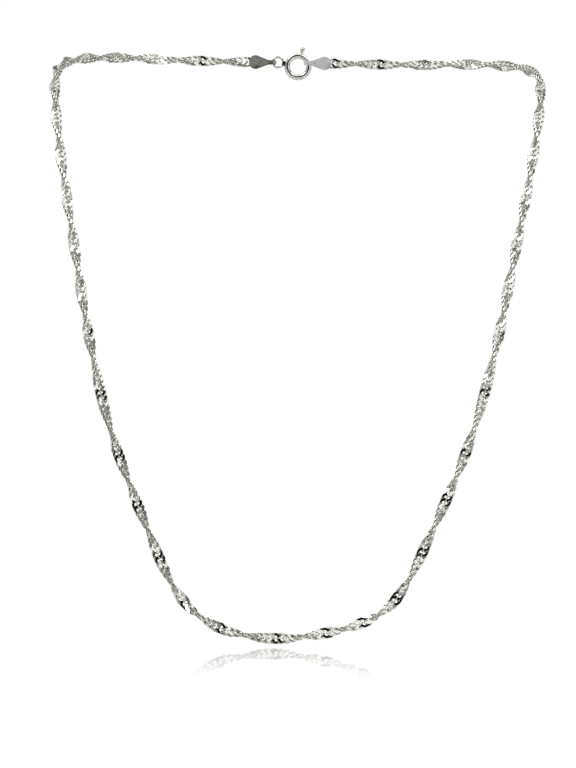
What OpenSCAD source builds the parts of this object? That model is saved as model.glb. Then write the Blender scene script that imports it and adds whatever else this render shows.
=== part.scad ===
// Twisted chain necklace with a spring ring clasp, worn round a neck.
// The origin is the middle of the neck hollow, +Z is up and the wearer faces -Y.
// Both strands start at the lowest point in front and end between the leaves of a tag behind.

/* [Chain] */
// Width of the flat band of links before it is twisted
band_w = 2.3; // [1.8:0.1:2.6]
// Thickness of the band over its filed faces
band_t = 0.9; // [0.7:0.05:0.9]
// Width of the filed face on each side of the band
face_w = 1.6; // [1.2:0.1:1.7]
// Height of the band's rounded edge
edge_h = 0.4; // [0.3:0.05:0.5]
// Gap between the two strands at the bottom of the loop
seam = 0.1; // [0.06:0.02:0.2]

/* [Drape] */
// How far the lowest point hangs in front of the neck's middle
front_y = -50; // [-50:1:-49]
// How far the lowest point hangs below the neck's middle
drop = 118; // [117.5:0.5:118.5]
// Lift of the right of the bottom, and drop of the left, because the loop hangs a little askew
sway = 0.5; // [0:0.1:0.6]
// Reach of that lift to each side of the lowest point
sway_w = 23; // [20:1:26]

/* [Spring ring] */
// Outer diameter of the spring ring
ring_od = 6.1; // [6:0.1:6.2]
// Diameter of the ring's tube
tube_d = 1.24; // [1.2:0.02:1.3]
// Bore of the ring's tube, which holds the trigger's wire
bore_d = 0.8; // [0.76:0.02:0.84]
// Angle where the ring's mouth starts, from +X towards +Z
mouth_from = 6; // [4:1:7]
// Angle where the ring's mouth ends
mouth_to = 48; // [47:1:50]
// Depth of the ring's middle below the chain's line
ring_drop = 0.85; // [0.8:0.05:0.9]

/* [Trigger] */
// Diameter of the trigger's wire
wire_d = 0.7; // [0.66:0.02:0.72]
// Angle where the knob stands with the clasp shut
knob_at = 76; // [74:1:80]
// How far the trigger slides round the ring to open it, in degrees
travel = 50; // [40:1:50]
// Diameter of the knob
knob_d = 1; // [0.9:0.1:1.1]
// Height of the knob's middle above the tube
knob_rise = 1; // [0.9:0.1:1.2]

/* [Eye] */
// Distance of the eye's middle from the ring's middle
eye_off = 4.62; // [4.6:0.01:4.64]
// Angle of the eye from the ring's middle
eye_at = 168.5; // [168:0.5:169.5]
// Diameter of the circle along the eye's wire
eye_d = 2.3; // [2.26:0.02:2.34]
// Diameter of the eye's wire
eye_wire = 0.54; // [0.5:0.02:0.56]

/* [Tags] */
// Thickness of the folded strip
leaf_t = 0.25; // [0.2:0.05:0.3]
// Clear space between a tag's two leaves
leaf_gap = 1; // [1:0.05:1.1]
// Width of the narrow tongue at the fold
tongue_w = 0.85; // [0.8:0.05:0.9]
// Length of the tongue before the tag widens
tongue_l = 1; // [0.9:0.1:1.1]
// Diameter of the tag's round end
tag_d = 3; // [2.8:0.1:3.1]
// Distance from the fold to the middle of the round end
tag_l = 3.95; // [3.8:0.05:4.1]
// How far the chain's end reaches past the middle of the round end
bite = 0.4; // [0.2:0.1:0.6]

/* [Hidden] */
$fn = 64;

// Route of a strand over the chest and round the neck: x to the side, y back, z up.
// The first point is the lowest one, and the left strand takes the same points with x turned round.
front = [
    [0, front_y, -drop], [8, -49.9, -117.2], [15, -49.5, -115.2], [20.8, -48.8, -111.4],
    [25, -47.8, -105.4], [28.5, -46.5, -97.9], [32.1, -44.5, -89.7], [35.7, -42, -81],
    [38.8, -39, -71.9], [41.3, -35.6, -62.5], [43.5, -31.8, -53], [45.4, -27.5, -43.6],
    [47.2, -23, -34.3], [49, -18.2, -25.3], [50.6, -13.2, -16.7], [51.9, -7.6, -8.6]
];
behind = [
    [52.7, -0.9, -2.4], [52.7, 7, 1.9], [51.1, 15.1, 4.4], [47.7, 22.7, 5.8], [42.6, 29.3, 6.6],
    [35.9, 34.6, 7], [28, 37.9, 7], [19.6, 39.3, 7], [13, 39.4, 7]
];
back_y = 39.4;
back_z = 7;

// Distances along each strand, from the lowest point, where the band is seen edge on from the front.
turns_left = [9, 19.4, 27.9, 40.2, 51.3, 62.6, 79.4, 89.4, 100.1, 111.5, 122.7];
turns_right = [3.3, 11.9, 19.5, 29.3, 41.7, 53.2, 64.3, 81.5, 91.3, 102.1, 113.4, 124.8];
// Half turns between the last of those and the tag, and the flat stretch held in the tag
turns_behind = 9;
flat_l = 2.2;

ring_r = (ring_od - tube_d) / 2;
ring_at = [0, back_y, back_z - ring_drop];
stem_d = 0.44;
slot_w = 0.6;
slot_play = 6;
spring_side = 24;
web_w = 1.4;
web_t = 0.8;
// Folds of the tags: round the trigger's wire on the right, round the eye on the left
fold_right = 2.05;
fold_left = -5.65;
end_right = [fold_right + tag_l - bite, back_y, back_z];
end_left = [fold_left - tag_l + bite, back_y, back_z];

// Rings of the sweep between two points of the route
steps = 6;

function unit(v) = v / norm(v);
function settled(p) =
    abs(p.x) < sway_w ? [p.x, p.y, p.z + sway * sin(180 * p.x / sway_w)] : p;
function turned(points, side) = [for (p = points) [side * p.x, p.y, p.z]];

// Points of one strand from the bottom to its end, on a smooth curve through the route
function strand_points(side, last) =
    let (p = concat(
        [for (q = turned(front, side)) settled(q)], turned(behind, side), [last]))
    let (n = len(p))
    let (before = settled([-side * front[1].x, front[1].y, front[1].z]))
    let (q = concat([before], p, [2 * p[n - 1] - p[n - 2]]))
    concat([for (i = [1 : n - 1], k = [0 : steps - 1]) between(q, i, k / steps)], [last]);
function between(q, i, t) =
    0.5 * (2 * q[i] + t * (q[i + 1] - q[i - 1])
        + t * t * (2 * q[i - 1] - 5 * q[i] + 4 * q[i + 1] - q[i + 2])
        + t * t * t * (3 * q[i] - q[i - 1] - 3 * q[i + 1] + q[i + 2]));

// Distance of each point along the strand
function lengths(p) =
    [for (i = 0, s = 0; i < len(p); i = i + 1, s = i < len(p) ? s + norm(p[i] - p[i - 1]) : s) s];

// Rows of distance along a strand and half turns made by there; the last stretch, in the tag, is flat
function turn_table(first, turns, whole) =
    let (n = len(turns), to = whole - flat_l)
    let (step = (to - turns[n - 1]) / turns_behind)
    concat(
        [[0, first]],
        [for (i = [0 : n - 1]) [turns[i], i + 0.5]],
        [for (j = [1 : turns_behind]) [turns[n - 1] + j * step, n - 0.5 + j]],
        [[whole, n - 0.5 + turns_behind]]);

// The side of the body that the band lies on: it faces forward below and up behind the neck
function outward(p) =
    let (up = (p.y - front_y) / (back_y - front_y))
    [0, up - 1, up];

// Band section, flat on both sides with sloping edges
function section() =
    let (w = band_w / 2, f = face_w / 2, t = band_t / 2, e = edge_h / 2)
    [[w, e], [f, t], [-f, t], [-w, e], [-w, -e], [-f, -t], [f, -t], [w, -e]];

// One strand: its section swept along the route and turned by the table, left-handed
module strand(side, last, turns) {
    p = strand_points(side, last);
    n = len(p);
    s = lengths(p);
    first = 0.5 - turns[0] / (turns_left[0] + turns_right[0]);
    table = turn_table(first, turns, s[n - 1]);
    around = section();
    m = len(around);
    rings = [for (i = [0 : n - 1])
        let (t = unit(p[min(i + 1, n - 1)] - p[max(i - 1, 0)]))
        let (g = outward(p[i]))
        let (face = unit(g - (g * t) * t))
        let (across = cross(t, face))
        let (a = 180 * lookup(s[i], table))
        let (wide = cos(a) * across + sin(a) * face)
        let (thick = cross(t, wide))
        let (c = i == 0 ? p[0] + t * seam / 2 : p[i])
        each [for (q = around) c + q.x * wide + q.y * thick]];
    walls = [for (i = [0 : n - 2], j = [0 : m - 1])
        let (a = i * m + j, b = i * m + (j + 1) % m)
        each [[a, a + m, b + m], [a, b + m, b]]];
    polyhedron(
        points = rings,
        faces = concat(
            walls,
            [[for (j = [0 : m - 1]) j]],
            [[for (j = [m - 1 : -1 : 0]) (n - 1) * m + j]]));
}

module chain_left() {
    color("silver") strand(-1, end_left, turns_left);
}

module chain_right() {
    color("silver") strand(1, end_right, turns_right);
}

// A strip folded over: a bend round the Z axis, and two leaves that widen along +X to a round end
module tag() {
    shoulder_x = tag_l - 0.4;
    shoulder_y = 0.48 * tag_d;
    for (side = [-1, 1])
        translate([0, side * (leaf_gap + leaf_t) / 2, 0]) rotate([90, 0, 0])
            linear_extrude(leaf_t, center = true) {
                translate([tag_l, 0]) circle(d = tag_d);
                translate([0, -tongue_w / 2]) square([tongue_l + 0.1, tongue_w]);
                polygon([
                    [tongue_l, tongue_w / 2], [shoulder_x, shoulder_y],
                    [shoulder_x, -shoulder_y], [tongue_l, -tongue_w / 2]]);
            }
    difference() {
        cylinder(h = tongue_w, d = leaf_gap + 2 * leaf_t, center = true);
        cylinder(h = tongue_w + 1, d = leaf_gap, center = true);
        translate([leaf_gap, 0, 0]) cube([2 * leaf_gap, 3 * leaf_gap, 2 * tongue_w], center = true);
    }
}

module end_tag_left() {
    color("gray") translate([fold_left, back_y, back_z]) mirror([1, 0, 0]) tag();
}

module end_tag_right() {
    color("lightgray") translate([fold_right, back_y, back_z]) tag();
}

// Places what is drawn in the ring's own plane, with angles from +X towards +Z
module on_ring() {
    translate(ring_at) rotate([90, 0, 0]) children();
}

// The ring's curved tube and the eye soldered to it, with the bore and the knob's slot
module clasp_body() {
    color("silver") on_ring() difference() {
        union() {
            rotate([0, 0, mouth_to]) rotate_extrude(angle = 360 - mouth_to + mouth_from)
                translate([ring_r, 0]) circle(d = tube_d);
            rotate([0, 0, eye_at]) {
                translate([eye_off, 0, 0]) rotate_extrude() translate([eye_d / 2, 0]) circle(d = eye_wire);
                translate([ring_r + 0.45, -web_w / 2, -web_t / 2]) cube([0.7, web_w, web_t]);
            }
        }
        rotate([0, 0, mouth_to - 1]) rotate_extrude(angle = 362 - mouth_to + mouth_from)
            translate([ring_r, 0]) circle(d = bore_d);
        rotate([0, 0, knob_at - slot_play]) rotate_extrude(angle = travel + 2 * slot_play)
            translate([ring_r, -slot_w / 2]) square([tube_d, slot_w]);
    }
}

// The sprung wire that shuts the mouth, with its stem and drop-shaped knob
module clasp_trigger() {
    color("lightgray") on_ring() {
        rotate([0, 0, -mouth_from]) rotate_extrude(angle = knob_at + spring_side + mouth_from)
            translate([ring_r, 0]) circle(d = wire_d);
        rotate([0, 0, knob_at]) rotate([0, 90, 0]) {
            translate([0, 0, ring_r]) cylinder(h = tube_d / 2 + 0.3, d = stem_d);
            translate([0, 0, ring_r + tube_d / 2 + 0.06])
                cylinder(h = knob_rise - 0.1, d1 = stem_d, d2 = 0.94 * knob_d);
            translate([0, 0, ring_r + tube_d / 2 + knob_rise]) sphere(d = knob_d);
        }
    }
}

chain_left();
chain_right();
end_tag_left();
end_tag_right();
clasp_body();
clasp_trigger();
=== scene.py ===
# Twisted chain necklace: filed and twisted curb links of silver wire, two folded end tags and a spring ring.
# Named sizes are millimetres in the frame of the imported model, and MM turns them into metres.
import math

import bmesh
import bpy
import numpy as np
from mathutils import Matrix, Vector


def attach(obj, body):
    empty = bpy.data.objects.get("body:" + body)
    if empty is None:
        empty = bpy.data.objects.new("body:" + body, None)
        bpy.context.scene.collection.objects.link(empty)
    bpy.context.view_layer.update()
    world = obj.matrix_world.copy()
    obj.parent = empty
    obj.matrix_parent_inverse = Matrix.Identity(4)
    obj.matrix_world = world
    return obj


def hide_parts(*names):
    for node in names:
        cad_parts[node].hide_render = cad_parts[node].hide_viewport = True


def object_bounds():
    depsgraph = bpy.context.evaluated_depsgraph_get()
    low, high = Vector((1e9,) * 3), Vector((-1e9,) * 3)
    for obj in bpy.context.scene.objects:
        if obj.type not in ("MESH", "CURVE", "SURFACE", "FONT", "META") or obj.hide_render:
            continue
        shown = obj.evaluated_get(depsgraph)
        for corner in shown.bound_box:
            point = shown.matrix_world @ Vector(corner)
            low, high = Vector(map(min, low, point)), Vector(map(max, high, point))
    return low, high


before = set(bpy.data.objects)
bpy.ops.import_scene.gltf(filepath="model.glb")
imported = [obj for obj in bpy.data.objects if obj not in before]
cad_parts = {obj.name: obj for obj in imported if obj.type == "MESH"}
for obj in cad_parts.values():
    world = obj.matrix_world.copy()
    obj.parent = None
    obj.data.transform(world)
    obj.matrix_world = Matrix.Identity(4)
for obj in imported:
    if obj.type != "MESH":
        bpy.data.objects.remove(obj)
cad_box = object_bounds()
MM = 0.001

# Route of a strand over the chest and round the neck, with the lowest point first
FRONT_Y = -50
DROP = 118
SWAY = 0.5
SWAY_W = 23
FRONT = [
    (0, FRONT_Y, -DROP), (8, -49.9, -117.2), (15, -49.5, -115.2), (20.8, -48.8, -111.4),
    (25, -47.8, -105.4), (28.5, -46.5, -97.9), (32.1, -44.5, -89.7), (35.7, -42, -81),
    (38.8, -39, -71.9), (41.3, -35.6, -62.5), (43.5, -31.8, -53), (45.4, -27.5, -43.6),
    (47.2, -23, -34.3), (49, -18.2, -25.3), (50.6, -13.2, -16.7), (51.9, -7.6, -8.6),
]
BEHIND = [
    (52.7, -0.9, -2.4), (52.7, 7, 1.9), (51.1, 15.1, 4.4), (47.7, 22.7, 5.8), (42.6, 29.3, 6.6),
    (35.9, 34.6, 7), (28, 37.9, 7), (19.6, 39.3, 7), (13, 39.4, 7),
]
BACK_Y = 39.4
BACK_Z = 7
TURNS_LEFT = [9, 19.4, 27.9, 40.2, 51.3, 62.6, 79.4, 89.4, 100.1, 111.5, 122.7]
TURNS_RIGHT = [3.3, 11.9, 19.5, 29.3, 41.7, 53.2, 64.3, 81.5, 91.3, 102.1, 113.4, 124.8]
TURNS_BEHIND = 9
FLAT_L = 2.2
ROUTE_STEPS = 24

# Links: half length, half width and half height of the wire's line, its diameter, and the filed height
LINK_A = 1.427
LINK_B = 0.935
LINK_C = 0.453
LINK_LONG = (1, 0.073, 0.044)
LINK_WIDE = (1, -0.025, -0.06)
LINK_HIGH = (1, 0.246)
LINK_WIRE = 0.48
PITCH = 1.15
FILED = 0.43
FILE_TILT = 0.025
FILE_PLAY = 0.012
LEAST_CHORD = math.radians(15)
DEEPEST_CUT = -0.3
STATIONS = 40
SIDES = 12

# Tarnish and painted shade of the links: in the band's hollow inside, and where neighbouring wires come
# close.
# It fades out towards the middle of the band's width, which stays clean and unshaded.
HOLLOW_SHADE_AND_TARNISH = 0.7
HOLLOW_W = 1.05
HOLLOW_H = 0.38
HOLLOW_FADE = 0.2
CREVICE_SHADE_AND_TARNISH = 0.95
CREVICE_W = 0.24
CREVICE_START = 1.2
CLEAN_W = 0.3
CLEAN_FADE = 0.25

# Spring ring and trigger
RING_R = 2.43
TUBE_D = 1.24
BORE_D = 0.8
RING_EDGE = 0.05
RING_DROP = 0.85
RING_AT = (0, BACK_Y, BACK_Z - RING_DROP)
MOUTH_FROM = 6
MOUTH_TO = 48
WIRE_D = 0.7
WIRE_END = 0.12
WIRE_END_CUT = 0.1
KNOB_AT = 76
TRAVEL = 50
SLOT_PLAY = 6
SLOT_W = 0.6
SPRING_SIDE = 24
KNOB_D = 1
KNOB_RISE = 1
STEM_D = 0.44
STEM_RISE = 0.06

# Eye and its solder
EYE_OFF = 4.62
EYE_AT = 168.5
EYE_D = 2.3
EYE_WIRE = 0.54
WEB_W = 1.4
WEB_T = 0.8
WEB_L = 0.7
WEB_FROM = RING_R + 0.45
WEB_WAIST = 0.2
WEB_SQUARE = 0.7
# How dark the solder is made: partly firescale, partly a painted reflection of the dark round the camera
SOLDER_SCALE_AND_REFLECTION = 0.95

# Tags
LEAF_T = 0.25
LEAF_GAP = 1
TONGUE_W = 0.85
TONGUE_L = 1
TAG_D = 3
TAG_L = 3.95
TAG_EDGE = 0.06
SHOULDER = 0.4
SHOULDER_PART = 0.48
TONGUE_BLEND = 0.25
BITE = 0.4
FOLD_RIGHT = 2.05
FOLD_LEFT = -5.65
# Painted shade along a tag's rim, how dark and how wide, for the dark that its rounded edge mirrors
RIM_SHADE = 0.85
RIM_W = 0.35

# Camera, level and looking along +Y with a slight roll
CAMERA_AT = (-0.83, -926.8, -65.73)
CAMERA_ROLL = math.radians(1.13)
LENS = 200
SENSOR = 36

# Silver: scales of its clouds and grain, how brushing stretches the grain, and how smooth filing leaves it
CLOUD_SCALE = 420.0
CLOUD_EDGE = 0.3
GRAIN_SCALE = 5200.0
GRAIN_DEPTH = 0.00001
BRUSHED_ALONG = 0.12
BRUSHED_STAIN = 0.3
FILED_ROUGH = 0.35

# Table, just under the lowest point, with gloss that is strongest at a flat angle and close to the chain
FLOOR_GAP = 0.45
FILM_GAP = 0.1
GLOSS_LEAST = 0.04
GLOSS_MOST = 0.54
GLOSS_NEAR = 10
GLOSS_FAR = 120
TABLE_GLOW = 1.03
GLOW_LOSS = 0.95

# Brightness of the room by the angle round from the camera, in half turns, as parts of its peak
ROOM_PEAK = 1.55
ROOM_LIMIT = 0.95
ROUND = [
    (0, 0.13), (0.16, 0.15), (0.24, 0.34), (0.28, 0.85), (0.32, 0.36), (0.42, 0.24),
    (0.52, 0.27), (0.6, 0.58), (0.7, 0.2), (0.86, 0.15), (1, 0.12),
]

# Roof of the room, and the dark place round the camera, by the parts of the unit vector that points there
ROOF_PEAK = 1.35
ROOF_FROM = 0.63
ROOF_FULL = 0.76
OPENING_W = 0.55
OPENING_Z = 0.29
OPENING_H = 0.47
OPENING_DARK = 0.99


def unit(v):
    return v / np.linalg.norm(v, axis=-1, keepdims=True)


def dot(a, b):
    return (a * b).sum(-1, keepdims=True)


def node(tree, kind, values=None, **settings):
    """A shader node with its settings, whose inputs are numbers or the sockets that feed them."""
    made = tree.nodes.new(kind)
    for name, value in settings.items():
        setattr(made, name, value)
    for name, value in (values or {}).items():
        if isinstance(value, bpy.types.NodeSocket):
            tree.links.new(value, made.inputs[name])
        else:
            made.inputs[name].default_value = value
    return made


def maths(tree, operation, *values):
    return node(tree, "ShaderNodeMath", dict(enumerate(values)), operation=operation).outputs[0]


def ramp(tree, value, low, high, to_low=0.0, to_high=1.0):
    """The value's way from low to high, eased, as a number from to_low to to_high."""
    made = node(
        tree, "ShaderNodeMapRange",
        {"Value": value, "From Min": low, "From Max": high, "To Min": to_low, "To Max": to_high},
        interpolation_type="SMOOTHSTEP")
    return made.outputs["Result"]


def mix_colour(tree, factor, first, second):
    made = node(tree, "ShaderNodeMix", {"Factor": factor, "A": first, "B": second}, data_type="RGBA")
    return made.outputs["Result"]


def grey(tree, value):
    made = node(tree, "ShaderNodeCombineColor", {"Red": value, "Green": value, "Blue": value})
    return made.outputs["Color"]


def noise(tree, place, scale, detail):
    made = node(tree, "ShaderNodeTexNoise", {"Vector": place, "Scale": scale, "Detail": detail})
    return made.outputs["Fac"]


def attribute(tree, name):
    return node(tree, "ShaderNodeAttribute", attribute_name=name).outputs["Fac"]


def new_material(name):
    material = bpy.data.materials.new(name)
    material.use_nodes = True
    tree = material.node_tree
    tree.nodes.clear()
    return material, tree


def silver(name, clean, stain_and_shade_colour, rough, stain_at, scratch, filed=False, with_tarnish_and_shade=False, brushed=False):
    """Silver with fine grain and clouded stains.

    Filed faces are smoother and stay clean, places with tarnishing and painted shade are darkened like
    stains, and brushed sheet has its grain along its length. The mesh says where it is filed and where it has
    tarnishing and painted shade."""
    material, tree = new_material(name)
    place = node(tree, "ShaderNodeTexCoord").outputs["Object"]
    grain_place = place
    if brushed:
        stretched = node(tree, "ShaderNodeMapping", {"Vector": place, "Scale": (BRUSHED_ALONG, 1.0, 1.0)})
        grain_place = stretched.outputs["Vector"]
    grain = noise(tree, grain_place, GRAIN_SCALE, 3.0)
    stain_and_shade = ramp(tree, noise(tree, place, CLOUD_SCALE, 4.0), stain_at, stain_at + CLOUD_EDGE)
    if brushed:
        stain_and_shade = maths(tree, "ADD", stain_and_shade, ramp(tree, grain, 0.4, 0.7, 0.0, BRUSHED_STAIN))
    more_rough = maths(tree, "MULTIPLY", grain, rough if filed else rough / 2)
    rough_out = maths(tree, "ADD", rough, more_rough)
    if filed:
        flat = attribute(tree, "filed")
        rough_out = maths(tree, "MULTIPLY", rough_out, ramp(tree, flat, 0.0, 1.0, 1.0, FILED_ROUGH))
    # Tarnish and painted shade stored on the mesh darken the colour as the stains do, except on filed faces
    if with_tarnish_and_shade:
        shade_and_tarnish = attribute(tree, "tarnish_and_shade")
        if filed:
            shade_and_tarnish = maths(tree, "MULTIPLY", shade_and_tarnish, maths(tree, "SUBTRACT", 1.0, flat))
        stain_and_shade = maths(tree, "MAXIMUM", stain_and_shade, shade_and_tarnish)
    colour = mix_colour(tree, stain_and_shade, clean, stain_and_shade_colour)
    bump = node(tree, "ShaderNodeBump", {"Height": grain, "Strength": scratch, "Distance": GRAIN_DEPTH})
    surface = node(
        tree, "ShaderNodeBsdfPrincipled",
        {"Base Color": colour, "Metallic": 1.0, "Roughness": rough_out, "Normal": bump.outputs["Normal"]})
    node(tree, "ShaderNodeOutputMaterial", {"Surface": surface.outputs["BSDF"]})
    return material


def add_object(name, data):
    made = bpy.data.objects.new(name, data)
    bpy.context.scene.collection.objects.link(made)
    return made


def add_mesh(name, mesh, material):
    """An object of a mesh, smooth shaded."""
    mesh.polygons.foreach_set("use_smooth", np.ones(len(mesh.polygons), bool))
    mesh.materials.append(material)
    return add_object(name, mesh)


def finish_form(name, form, material):
    """An object from a bmesh in millimetres, with its steep edges left crisp."""
    bmesh.ops.recalc_face_normals(form, faces=form.faces)
    mesh = bpy.data.meshes.new(name)
    form.to_mesh(mesh)
    form.free()
    mesh.transform(Matrix.Scale(MM, 4))
    made = add_mesh(name, mesh, material)
    mesh.set_sharp_from_angle(angle=math.radians(35))
    return made


# Route and band
def settled(p):
    """A route point with the slight tilt that the lowest stretch has settled into."""
    lift = SWAY * math.sin(math.pi * p[0] / SWAY_W) if abs(p[0]) < SWAY_W else 0
    return (p[0], p[1], p[2] + lift)


def strand_points(side, last):
    """Points from the bottom to the strand's end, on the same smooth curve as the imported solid."""
    front = [settled((side * x, y, z)) for x, y, z in FRONT]
    behind = [(side * x, y, z) for x, y, z in BEHIND]
    before = settled((-side * FRONT[1][0], FRONT[1][1], FRONT[1][2]))
    q = np.array([before, *front, *behind, last], float)
    q = np.vstack([q, 2 * q[-1] - q[-2]])
    t = (np.arange(ROUTE_STEPS) / ROUTE_STEPS)[None, :, None]
    a, b, c, d = (q[i:len(q) - 3 + i, None, :] for i in range(4))
    curve = 0.5 * (
        2 * b + t * (c - a) + t ** 2 * (2 * a - 5 * b + 4 * c - d) + t ** 3 * (3 * b - a - 3 * c + d))
    return np.vstack([curve.reshape(-1, 3), q[-2]])


class Band:
    """The twisted band of one strand: its place, direction, width and thickness by the distance along it."""

    def __init__(self, side, last, turns):
        p = strand_points(side, last)
        self.p = p
        self.s = np.concatenate([[0], np.cumsum(np.linalg.norm(np.diff(p, axis=0), axis=1))])
        self.whole = self.s[-1]
        self.t = unit(np.gradient(p, axis=0))
        up = (p[:, 1] - FRONT_Y) / (BACK_Y - FRONT_Y)
        outward = np.stack([0 * up, up - 1, up], 1)
        self.face = unit(outward - dot(outward, self.t) * self.t)
        first = 0.5 - turns[0] / (TURNS_LEFT[0] + TURNS_RIGHT[0])
        end = self.whole - FLAT_L
        step = (end - turns[-1]) / TURNS_BEHIND
        made = len(turns) - 0.5
        rows = [(0, first)] + [(turn, i + 0.5) for i, turn in enumerate(turns)]
        rows += [(turns[-1] + j * step, made + j) for j in range(1, TURNS_BEHIND + 1)]
        rows.append((self.whole, made + TURNS_BEHIND))
        self.table = np.array(rows).T

    def at(self, s):
        """Place, direction, width and thickness of the band at the distances s."""
        s = np.asarray(s, float)
        place, t, face = (
            np.stack([np.interp(s, self.s, line[:, i]) for i in range(3)], -1)
            for line in (self.p, self.t, self.face))
        over = (s - np.clip(s, 0, self.whole))[..., None]
        t = unit(t)
        place = place + over * t
        face = unit(face - dot(face, t) * t)
        across = np.cross(t, face)
        a = math.pi * np.interp(s, *self.table)[..., None]
        wide = np.cos(a) * across + np.sin(a) * face
        return place, t, wide, np.cross(t, wide)


def link_line(angle):
    """Middle of a link's wire, along, across and out of the band: a pointed oval with raised corners."""
    along = sum(part * np.cos((2 * i + 1) * angle) for i, part in enumerate(LINK_LONG))
    across = sum(part * np.sin((2 * i + 1) * angle) for i, part in enumerate(LINK_WIDE))
    high = sum(part * np.sin((2 * i + 2) * angle) for i, part in enumerate(LINK_HIGH))
    widest = 1 - LINK_WIDE[1] + LINK_WIDE[2]
    return LINK_A * along / sum(LINK_LONG), LINK_B * across / widest, LINK_C * high


def link_chain(name, band, material, seed):
    """All links of one strand: each a bent ring of round wire, filed flat twice on each side of the band."""
    draw = np.random.default_rng(seed)
    count = int((band.whole - LINK_A - LINK_WIRE / 2 - PITCH / 2) / PITCH) + 1
    middle = PITCH * (np.arange(count) + 0.5)
    angle = 2 * np.pi * np.arange(STATIONS) / STATIONS
    radius = LINK_WIRE / 2

    # Middle of each link's wire, and the two directions a and b across it
    x, w, h = link_line(angle)
    place, t, wide, thick = band.at(middle[:, None] + x)
    centre = place + w[:, None] * wide + h[:, None] * thick
    along = unit(np.roll(centre, -1, 1) - np.roll(centre, 1, 1))
    b = unit(thick - dot(thick, along) * along)
    a = np.cross(b, along)

    # The file's planes, one at each corner of the link
    corner = np.pi * (np.arange(4) + 0.5) / 2
    side = np.sign(np.sin(2 * corner))[None, :, None]
    corner_x, corner_w, _ = link_line(corner)
    p0, t0, w0, h0 = band.at(middle[:, None] + corner_x)
    tilt = draw.normal(0, FILE_TILT, (2, count, 4, 1))
    depth = FILED + draw.uniform(-FILE_PLAY, FILE_PLAY, (count, 4, 1))
    normal = unit(side * h0 + tilt[0] * w0 + tilt[1] * t0)
    origin = p0 + corner_w[:, None] * w0 + side * depth * h0

    def cut(stations_of):
        """Direction and half angle of the chord that the nearest plane of one side cuts from each section."""
        n = normal[:, stations_of]
        n_a, n_b = dot(n, a)[..., 0], dot(n, b)[..., 0]
        size = np.hypot(n_a, n_b)
        reach = dot(n, origin[:, stations_of] - centre)[..., 0] / size / radius
        half = np.arccos(np.clip(reach, DEEPEST_CUT, math.cos(LEAST_CHORD)))
        return np.arctan2(n_b, n_a), half, half > LEAST_CHORD + 1e-6

    # Angles round each section: along one chord, round to the other chord, along it, and round again
    upper = np.where((angle + np.pi / 4) % (2 * np.pi) < np.pi, 0, 2)
    lower = np.where((angle - np.pi / 4) % (2 * np.pi) < np.pi, 1, 3)
    top, top_half, top_cut = cut(upper)
    low, low_half, low_cut = cut(lower)
    low = top + np.pi + (low - top) % (2 * np.pi) - np.pi
    start = [top - top_half, top + top_half, low - low_half, low + low_half, top - top_half + 2 * np.pi]
    around = [start[0]]
    per_side = SIDES // 2 - 1
    for first, last in ((start[1], start[2]), (start[3], start[4])):
        around += [first + (last - first) * k / per_side for k in range(per_side)]
        around.append(last)
    around = np.stack(around[:SIDES], -1)[..., None]
    points = centre[:, :, None] + radius * (np.cos(around) * a[:, :, None] + np.sin(around) * b[:, :, None])

    # Faces between neighbouring sections of a link
    k, i, j = np.meshgrid(np.arange(count), np.arange(STATIONS), np.arange(SIDES), indexing="ij")
    ahead, beside = (i + 1) % STATIONS, (j + 1) % SIDES
    faces = np.stack([
        (k * STATIONS + i) * SIDES + j, (k * STATIONS + i) * SIDES + beside,
        (k * STATIONS + ahead) * SIDES + beside, (k * STATIONS + ahead) * SIDES + j], -1)
    mesh = bpy.data.meshes.new(name)
    mesh.from_pydata((points.reshape(-1, 3) * MM).tolist(), [], faces.reshape(-1, 4).tolist())
    made = add_mesh(name, mesh, material)

    # Filed faces, and the crisp edges round them
    flat = np.zeros((count, STATIONS, SIDES), bool)
    flat[:, :, 0] = top_cut & np.roll(top_cut, -1, 1)
    flat[:, :, SIDES // 2] = low_cut & np.roll(low_cut, -1, 1)
    filed = mesh.attributes.new("filed", "FLOAT", "FACE")
    filed.data.foreach_set("value", flat.ravel().astype(np.float32))
    mark_sharp(mesh, flat)
    # Tarnish and painted shade: in the band's hollow and where neighbouring links come close
    tarnish_and_shade(mesh, tarnish_and_shade_in_recesses(band, middle, angle, points, CREVICE_SHADE_AND_TARNISH * crevices(points, centre)))
    return made


def crevices(points, centre):
    """How close each point of a link comes to the wire of the links next to it, from 0 to 1."""
    flat = points.reshape(len(points), -1, 1, 3)
    nearest = np.full(flat.shape[:2], np.inf)
    for step in (-3, -2, -1, 1, 2, 3):
        away = np.linalg.norm(flat - np.roll(centre, step, 0)[:, None], axis=-1).min(-1)
        nearest = np.minimum(nearest, away)
    gap = nearest - LINK_WIRE / 2
    return np.clip(CREVICE_START - gap / CREVICE_W, 0, 1).reshape(points.shape[:3])


def tarnish_and_shade(mesh, values):
    """Stores how dark each point of a mesh is from tarnishing and from painted shade, from 0 to 1."""
    stored = mesh.attributes.new("tarnish_and_shade", "FLOAT", "POINT")
    stored.data.foreach_set("value", np.asarray(values, np.float32).ravel())


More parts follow.
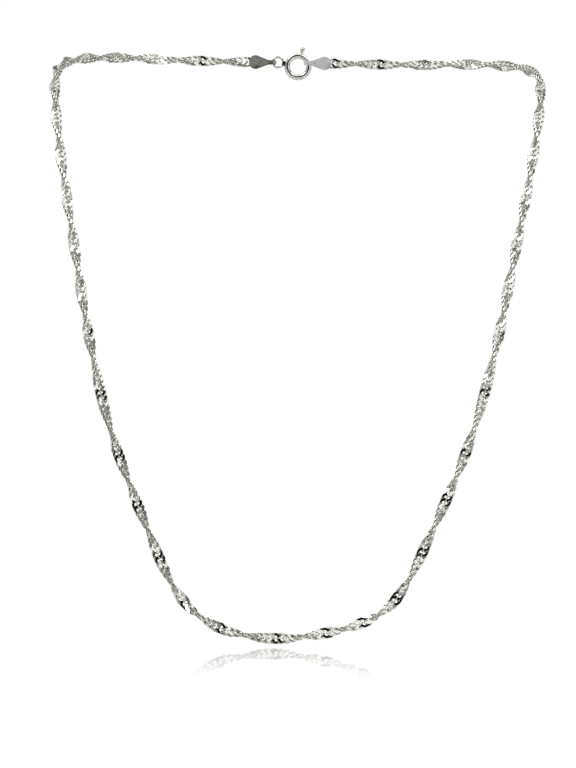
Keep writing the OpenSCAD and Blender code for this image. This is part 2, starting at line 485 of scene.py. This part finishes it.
def mark_sharp(mesh, flat):
    """Marks the edges between a filed face and a round one."""
    ends = np.empty(2 * len(mesh.edges), np.int32)
    mesh.edges.foreach_get("vertices", ends)
    ends = ends.reshape(-1, 2)
    row, column = ends // SIDES, ends % SIDES
    link, station = row // STATIONS, row % STATIONS
    same_row = row[:, 0] == row[:, 1]
    gap = np.abs(column[:, 0] - column[:, 1])
    lower = np.where(gap == SIDES - 1, SIDES - 1, column.min(1))
    step = np.abs(station[:, 0] - station[:, 1])
    behind = np.where(step == STATIONS - 1, STATIONS - 1, station.min(1))
    link = link[:, 0]
    here = flat[link, station[:, 0], lower]
    before = flat[link, (station[:, 0] - 1) % STATIONS, lower]
    left = flat[link, behind, column[:, 0]]
    right = flat[link, behind, (column[:, 0] - 1) % SIDES]
    sharp = np.where(same_row, here != before, left != right)
    marked = mesh.attributes.new("sharp_edge", "BOOLEAN", "EDGE")
    marked.data.foreach_set("value", sharp)


def tarnish_and_shade_in_recesses(band, middle, angle, points, crevice_shade_and_tarnish):
    """Tarnishing and painted shade of each point: far inside the band and where wires come close, but not
    along its middle.
    """
    s = (middle[:, None] + link_line(angle)[0])[:, :, None]
    place, _, wide, thick = band.at(s)
    from_middle = points - place
    height = np.abs(dot(from_middle, thick))[..., 0]
    width = np.abs(dot(from_middle, wide))[..., 0]
    inside = np.clip((HOLLOW_W - width) / HOLLOW_FADE, 0, 1)
    shade_and_tarnish = HOLLOW_SHADE_AND_TARNISH * inside * np.clip((HOLLOW_H - height) / HOLLOW_FADE, 0, 1)
    return np.maximum(shade_and_tarnish, crevice_shade_and_tarnish) * np.clip((width - CLEAN_W) / CLEAN_FADE, 0, 1)


# Spring ring
def on_ring(form, angle=0, out=0):
    """Moves what is drawn flat, x outward, to its angle round the ring and to where the ring hangs."""
    round_ring = Matrix.Rotation(math.radians(angle), 4, "Z") @ Matrix.Translation((out, 0, 0))
    upright = Matrix.Translation(RING_AT) @ Matrix.Rotation(math.radians(90), 4, "X")
    for matrix in (round_ring, upright):
        bmesh.ops.transform(form, matrix=matrix, verts=form.verts)


def circle(sides):
    """The angles of a circle's corners."""
    return [2 * math.pi * j / sides for j in range(sides)]


def torus_point(big, small, along, around):
    """A point on a ring of round wire, by its angles along the ring and around the wire."""
    reach = big + small * math.cos(around)
    return (reach * math.cos(along), reach * math.sin(along), small * math.sin(around))


def ring_tube(material):
    """The curved tube, open at the mouth, with its bore and the slot that the knob slides in."""
    form = bmesh.new()
    slot_from, slot_to = KNOB_AT - SLOT_PLAY, KNOB_AT + TRAVEL + SLOT_PLAY
    rows_before, rows_along, rows_after = 10, 26, 96
    spans = [
        (MOUTH_TO, slot_from, rows_before), (slot_from, slot_to, rows_along),
        (slot_to, 360 + MOUTH_FROM, rows_after)]
    along = [math.radians(a + (b - a) * i / n) for a, b, n in spans for i in range(n)]
    along.append(math.radians(360 + MOUTH_FROM))
    slot_rows = range(rows_before, rows_before + rows_along)
    slot_cells, other_cells = 6, 34

    def turn(j, half):
        """Angle round the tube of its corner j, with the slot's edges at -half and half."""
        if j <= slot_cells:
            return -half + 2 * half * j / slot_cells
        return half + (2 * math.pi - 2 * half) * (j - slot_cells) / other_cells

    cells = slot_cells + other_cells

    def skin(small):
        half = math.asin(SLOT_W / 2 / small)
        return [
            [form.verts.new(torus_point(RING_R, small, a, turn(j, half))) for j in range(cells)]
            for a in along]

    outer, inner = skin(TUBE_D / 2), skin(BORE_D / 2)
    last = len(along) - 1
    for i in range(last):
        for j in range(cells):
            if i in slot_rows and j < slot_cells:
                continue
            k = (j + 1) % cells
            form.faces.new((outer[i][j], outer[i][k], outer[i + 1][k], outer[i + 1][j]))
            form.faces.new((inner[i][j], inner[i + 1][j], inner[i + 1][k], inner[i][k]))
    for i in slot_rows:
        for j in (0, slot_cells):
            form.faces.new((outer[i][j], outer[i + 1][j], inner[i + 1][j], inner[i][j]))
    for i in (slot_rows.start, slot_rows.stop):
        for j in range(slot_cells):
            form.faces.new((outer[i][j], outer[i][j + 1], inner[i][j + 1], inner[i][j]))
    for i in (0, last):
        for j in range(cells):
            k = (j + 1) % cells
            form.faces.new((outer[i][j], outer[i][k], inner[i][k], inner[i][j]))
    soften(form, RING_EDGE)
    on_ring(form)
    return finish_form("clasp_ring", form, material)


def soften(form, width, angle=50):
    """Rounds the edges that are steeper than angle, in degrees."""
    bmesh.ops.recalc_face_normals(form, faces=form.faces)
    limit = math.radians(angle)
    edges = [e for e in form.edges if len(e.link_faces) == 2 and e.calc_face_angle() > limit]
    bmesh.ops.bevel(
        form, geom=edges, offset=width, segments=2, profile=0.5, affect="EDGES", clamp_overlap=True)


def swept(form, rings, closed=False):
    """Skins rings of points with quads; an open skin gets a cap at each end."""
    rows = [[form.verts.new(p) for p in ring] for ring in rings]
    n = len(rows[0])
    for i in range(len(rows) if closed else len(rows) - 1):
        a, b = rows[i], rows[(i + 1) % len(rows)]
        for j in range(n):
            k = (j + 1) % n
            form.faces.new((a[j], a[k], b[k], b[j]))
    if not closed:
        form.faces.new(rows[0])
        form.faces.new(rows[-1])


def eye(material):
    """The wire eye that hangs on the left tag, closed and soldered to the ring."""
    form = bmesh.new()
    rings = [
        [torus_point(EYE_D / 2, EYE_WIRE / 2, along, around) for around in circle(20)]
        for along in circle(56)]
    swept(form, rings, closed=True)
    on_ring(form, EYE_AT, EYE_OFF)
    return finish_form("clasp_eye", form, material)


def solder(material):
    """The waisted bead of solder between the ring and its eye."""
    form = bmesh.new()
    rings = []
    rows = 12
    for i in range(rows + 1):
        x = i / rows
        waist = 1 - WEB_WAIST * math.sin(math.pi * x)
        ring = []
        for angle in circle(32):
            c, s = math.cos(angle), math.sin(angle)
            y = WEB_W / 2 * waist * math.copysign(abs(c) ** WEB_SQUARE, c)
            z = WEB_T / 2 * waist * math.copysign(abs(s) ** WEB_SQUARE, s)
            ring.append((WEB_FROM + WEB_L * x, y, z))
        rings.append(ring)
    swept(form, rings)
    on_ring(form, EYE_AT)
    made = finish_form("clasp_solder", form, material)
    # The whole solder is darkened: firescale and a painted dark reflection
    tarnish_and_shade(made.data, np.full(len(made.data.vertices), SOLDER_SCALE_AND_REFLECTION))
    return made


def trigger(material):
    """The sprung wire that shuts the mouth, with its stem and drop-shaped knob."""
    around = circle(24)
    start, end = -MOUTH_FROM, KNOB_AT + SPRING_SIDE
    rows = 72
    rings = []
    for i in range(rows + 1):
        angle = math.radians(start + (end - start) * i / rows)
        from_end = min(i, rows - i) / rows * math.radians(end - start) * RING_R
        trim = min(from_end / WIRE_END, 1)
        small = WIRE_D / 2 - WIRE_END_CUT * (1 - math.sqrt(1 - (1 - trim) ** 2))
        rings.append([torus_point(RING_R, small, angle, a) for a in around])
    wire = bmesh.new()
    swept(wire, rings)
    on_ring(wire)

    # Radius of the stem and knob by the distance from the ring's middle
    stem_r, knob_r = STEM_D / 2, KNOB_D / 2
    tube = RING_R + TUBE_D / 2
    profile = [(stem_r, RING_R), (stem_r, tube + STEM_RISE)]
    rise = KNOB_RISE - STEM_RISE
    for i in range(1, 11):
        x = i / 10
        swell = x * x * (3 - 2 * x)
        profile.append((stem_r + (KNOB_D - STEM_D) / 2 * swell, tube + STEM_RISE + rise * x))
    for i in range(1, 9):
        angle = math.radians(88 * i / 8)
        profile.append((knob_r * math.cos(angle), tube + KNOB_RISE + knob_r * math.sin(angle)))
    knob = bmesh.new()
    swept(knob, [[(x, r * math.cos(a), r * math.sin(a)) for a in around] for r, x in profile])
    on_ring(knob, KNOB_AT)
    return finish_form("trigger_wire", wire, material), finish_form("trigger_knob", knob, material)


# Tags
def leaf_width(x):
    """Half width of a tag's leaf at distance x from its fold."""
    shoulder = TAG_L - SHOULDER
    if x > shoulder:
        return math.sqrt(max((TAG_D / 2) ** 2 - (x - TAG_L) ** 2, 0))
    slope = (SHOULDER_PART * TAG_D - TONGUE_W / 2) / (shoulder - TONGUE_L)
    past = x - TONGUE_L
    return TONGUE_W / 2 + slope * (past + math.hypot(past, TONGUE_BLEND)) / 2


def tag(name, fold, side, material):
    """A strip of sheet folded over at its tongue, with two leaves that widen to a round end."""
    # Steps from the round end to the fold, closer together round the end
    steps = [TAG_L + TAG_D / 2 * math.sin(math.radians(84 - 9 * i)) for i in range(11)]
    steps += [3.4 - 0.3 * i for i in range(12)]

    # Where the sheet's middle runs, which way its outside faces, and its half width there
    bend_r = (LEAF_GAP + LEAF_T) / 2
    path = [((x, -bend_r), (0, -1), leaf_width(x)) for x in steps]
    bend = 20
    for i in range(bend + 1):
        a = math.pi * i / bend
        facing = (-math.sin(a), -math.cos(a))
        path.append(((bend_r * facing[0], bend_r * facing[1]), facing, TONGUE_W / 2))
    path += [((x, bend_r), (0, 1), leaf_width(x)) for x in reversed(steps)]

    form = bmesh.new()
    columns = 17

    def skin(out):
        return [[
            form.verts.new((x + out * nx, y + out * ny, w * (2 * j / (columns - 1) - 1)))
            for j in range(columns)] for (x, y), (nx, ny), w in path]

    top, low = skin(LEAF_T / 2), skin(-LEAF_T / 2)
    for i in range(len(path) - 1):
        for j in range(columns - 1):
            form.faces.new((top[i][j], top[i][j + 1], top[i + 1][j + 1], top[i + 1][j]))
            form.faces.new((low[i][j], low[i + 1][j], low[i + 1][j + 1], low[i][j + 1]))
        for j in (0, columns - 1):
            form.faces.new((top[i][j], top[i + 1][j], low[i + 1][j], low[i][j]))
    for i in (0, len(path) - 1):
        for j in range(columns - 1):
            form.faces.new((top[i][j], top[i][j + 1], low[i][j + 1], low[i][j]))
    soften(form, TAG_EDGE, 60)
    move = Matrix.Translation((fold, BACK_Y, BACK_Z))
    if side < 0:
        move = move @ Matrix.Scale(-1, 4, (1, 0, 0))
    bmesh.ops.transform(form, matrix=move, verts=form.verts)
    made = finish_form(name, form, material)

    # Painted shade along the rim, where its rounded edge mirrors the dark
    rim_shade = []
    for vertex in made.data.vertices:
        x = min(max(side * (vertex.co.x / MM - fold), 0), TAG_L + TAG_D / 2 - 0.01)
        from_edge = leaf_width(x) - abs(vertex.co.z / MM - BACK_Z)
        rim_shade.append(RIM_SHADE * min(max(1 - from_edge / RIM_W, 0), 1))
    tarnish_and_shade(made.data, rim_shade)
    return made


# Stage
def plane(name, z, material):
    bpy.ops.mesh.primitive_plane_add(size=8, location=(0, 0, z))
    made = bpy.context.object
    made.name = name
    made.data.materials.append(material)


def floor(z):
    """A pale, slightly glossy table just under the chain's lowest point, under a clear film."""
    material, tree = new_material("pale_table")
    facing = node(tree, "ShaderNodeLayerWeight", {"Blend": 0.5}).outputs["Facing"]
    place = node(tree, "ShaderNodeTexCoord").outputs["Object"]
    away = node(
        tree, "ShaderNodeVectorMath", {0: place, 1: (0, FRONT_Y * MM, 0)}, operation="DISTANCE")
    near = ramp(tree, away.outputs["Value"], GLOSS_NEAR * MM, GLOSS_FAR * MM, 1.0, 0.0)
    gloss = maths(tree, "MULTIPLY", ramp(tree, facing, 0.6, 1.0, GLOSS_LEAST, GLOSS_MOST), near)
    glow = maths(tree, "SUBTRACT", TABLE_GLOW, maths(tree, "MULTIPLY", gloss, GLOW_LOSS))
    lit = node(tree, "ShaderNodeEmission", {"Color": (1, 1, 1, 1), "Strength": glow}).outputs["Emission"]
    glossy = node(tree, "ShaderNodeBsdfGlossy", {"Color": grey(tree, gloss), "Roughness": 0.03})
    shown = node(tree, "ShaderNodeAddShader", {0: lit, 1: glossy.outputs["BSDF"]}).outputs[0]
    patches = grey(tree, ramp(tree, noise(tree, place, 14.0, 1.0), 0.42, 0.58, 0.25, 1.0))
    matt = node(tree, "ShaderNodeBsdfDiffuse", {"Color": patches}).outputs["BSDF"]
    seen = node(tree, "ShaderNodeLightPath").outputs["Is Camera Ray"]
    both = node(tree, "ShaderNodeMixShader", {0: seen, 1: matt, 2: shown}).outputs[0]
    node(tree, "ShaderNodeOutputMaterial", {"Surface": both})
    plane("table", z, material)
    film, tree = new_material("clear_film")
    clear = node(tree, "ShaderNodeBsdfTransparent").outputs["BSDF"]
    node(tree, "ShaderNodeOutputMaterial", {"Surface": clear})
    plane("table_film", z + FILM_GAP * MM, film)


def steps_of(tree, value, stops):
    """A number that goes through the stops (value, result)."""
    made = node(tree, "ShaderNodeFloatCurve", {"Value": value})
    curve = made.mapping.curves[0]
    curve.points[0].location = stops[0]
    curve.points[1].location = stops[-1]
    for stop in stops[1:-1]:
        curve.points.new(*stop)
    for point in curve.points:
        point.handle_type = "AUTO_CLAMPED"
    made.mapping.update()
    return made.outputs["Value"]


def light_room():
    """A dim room with a bright roof and the dark place that the camera stands in.

    The viewer and the table see it as plain white."""
    world = bpy.data.worlds.new("room")
    bpy.context.scene.world = world
    world.use_nodes = True
    tree = world.node_tree
    tree.nodes.clear()
    way = node(tree, "ShaderNodeTexCoord").outputs["Generated"]
    parts = node(tree, "ShaderNodeSeparateXYZ", {"Vector": way}).outputs
    x, y, z = parts["X"], parts["Y"], parts["Z"]

    def calc(operation, *values):
        return maths(tree, operation, *values)

    # Walls, darker in the rounded oblong round the camera
    turn = calc("DIVIDE", calc("ARCTAN2", calc("ABSOLUTE", x), calc("MULTIPLY", y, -1.0)), math.pi)
    walls = calc("MULTIPLY", steps_of(tree, turn, ROUND), ROOM_PEAK)
    from_side = calc("POWER", calc("DIVIDE", x, OPENING_W), 4.0)
    from_level = calc("POWER", calc("DIVIDE", calc("SUBTRACT", z, OPENING_Z), OPENING_H), 4.0)
    opening = calc("POWER", calc("ADD", from_side, from_level), 0.25)
    in_front = ramp(tree, y, -0.5, -0.3, 1.0, 0.0)
    dark = calc("MULTIPLY", ramp(tree, opening, 0.85, 1.05, 1.0, 0.0), in_front)
    walls = calc("MULTIPLY", walls, calc("SUBTRACT", 1.0, calc("MULTIPLY", dark, OPENING_DARK)))

    # Roof, and soft patches over all of it
    overhead = ramp(tree, z, ROOF_FROM, ROOF_FULL, 0.0, ROOF_PEAK)
    roof = calc("MULTIPLY", overhead, ramp(tree, y, 0.0, 0.5, 1.0, 0.45))
    patches = ramp(tree, noise(tree, way, 3.2, 1.0), 0.4, 0.6, 0.45, 2.0)
    room = calc("MINIMUM", calc("MULTIPLY", calc("MAXIMUM", walls, roof), patches), ROOM_LIMIT)

    # Plain white for what is seen directly or in the table
    path = node(tree, "ShaderNodeLightPath").outputs
    bounces = calc("ADD", path["Glossy Depth"], calc("MULTIPLY", path["Diffuse Depth"], 2.0))
    through_film = calc("GREATER_THAN", path["Transparent Depth"], 0.5)
    on_table = calc("MULTIPLY", through_film, calc("LESS_THAN", bounces, 1.5))
    plain = calc("MAXIMUM", path["Is Camera Ray"], on_table)
    shown = node(tree, "ShaderNodeMix", {"Factor": plain, "A": room, "B": 1.0}, data_type="FLOAT")
    back_light = node(
        tree, "ShaderNodeBackground", {"Color": (1, 1, 1, 1), "Strength": shown.outputs["Result"]})
    node(tree, "ShaderNodeOutputWorld", {"Surface": back_light.outputs["Background"]})


def softbox(name, place, size, power):
    """A square light that faces the necklace."""
    light = bpy.data.lights.new(name, "AREA")
    light.shape = "SQUARE"
    light.size = size
    light.energy = power
    made = add_object(name, light)
    made.location = place
    made.rotation_euler = (-Vector(place)).to_track_quat("-Z", "Y").to_euler()


def camera():
    data = bpy.data.cameras.new("camera")
    data.lens = LENS
    data.sensor_width = SENSOR
    data.clip_start = 0.01
    data.clip_end = 20
    made = add_object("camera", data)
    c, s = math.cos(CAMERA_ROLL), math.sin(CAMERA_ROLL)
    across, up, back = Vector((c, 0, s)), Vector((-s, 0, c)), Vector((0, -1, 0))
    turn = Matrix((across, up, back)).transposed().to_4x4()
    made.matrix_world = Matrix.Translation(Vector(CAMERA_AT) * MM) @ turn
    bpy.context.scene.camera = made


camera()
bpy.context.scene.view_settings.view_transform = "Standard"
light_room()
softbox("softbox_left", (-0.9, -0.3, 1.2), 0.7, 6)
softbox("softbox_right", (0.8, -0.5, 1.3), 0.6, 4)
floor(cad_box[0].z - FLOOR_GAP * MM)

chain_silver = silver(
    "chain_silver", (0.93, 0.93, 0.85, 1), (0.07, 0.07, 0.055, 1),
    rough=0.1, stain_at=0.62, scratch=0.12, filed=True, with_tarnish_and_shade=True)
clasp_silver = silver(
    "clasp_silver", (0.93, 0.93, 0.89, 1), (0.06, 0.06, 0.05, 1),
    rough=0.05, stain_at=0.75, scratch=0.04, with_tarnish_and_shade=True)
trigger_silver = silver(
    "trigger_silver", (0.8, 0.79, 0.66, 1), (0.36, 0.35, 0.25, 1),
    rough=0.1, stain_at=0.42, scratch=0.05)
# Both tags are one silver in two painted copies: the left one darkened as painted shade for the dark it
# faces, the right one whitened as painted light
tag_dark = silver(
    "tag_dark", (0.78, 0.78, 0.68, 1), (0.12, 0.12, 0.1, 1),
    rough=0.34, stain_at=0.46, scratch=0.5, with_tarnish_and_shade=True, brushed=True)
tag_light = silver(
    "tag_light", (1.0, 1.0, 1.0, 1), (0.62, 0.62, 0.59, 1),
    rough=0.52, stain_at=0.46, scratch=0.6, brushed=True)

end_right = (FOLD_RIGHT + TAG_L - BITE, BACK_Y, BACK_Z)
end_left = (FOLD_LEFT - TAG_L + BITE, BACK_Y, BACK_Z)
for name, side, last, turns, seed in (
        ("chain_left", -1, end_left, TURNS_LEFT, 11), ("chain_right", 1, end_right, TURNS_RIGHT, 23)):
    piece = link_chain(name + "_links", Band(side, last, turns), chain_silver, seed)
    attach(piece, "necklace")
    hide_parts(name)

# The left tag takes the shaded copy of the silver and the right tag the lit copy
for name, fold, side, finish, slot in (
        ("end_tag_left", FOLD_LEFT, -1, tag_dark, "tag_dark"),
        ("end_tag_right", FOLD_RIGHT, 1, tag_light, "tag_light")):
    piece = tag(name + "_sheet", fold, side, finish)
    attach(piece, "necklace")
    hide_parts(name)

for piece in (ring_tube(clasp_silver), eye(clasp_silver), solder(clasp_silver)):
    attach(piece, "necklace")
    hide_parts("clasp_body")

for piece in trigger(trigger_silver):
    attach(piece, "trigger")
    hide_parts("clasp_trigger")
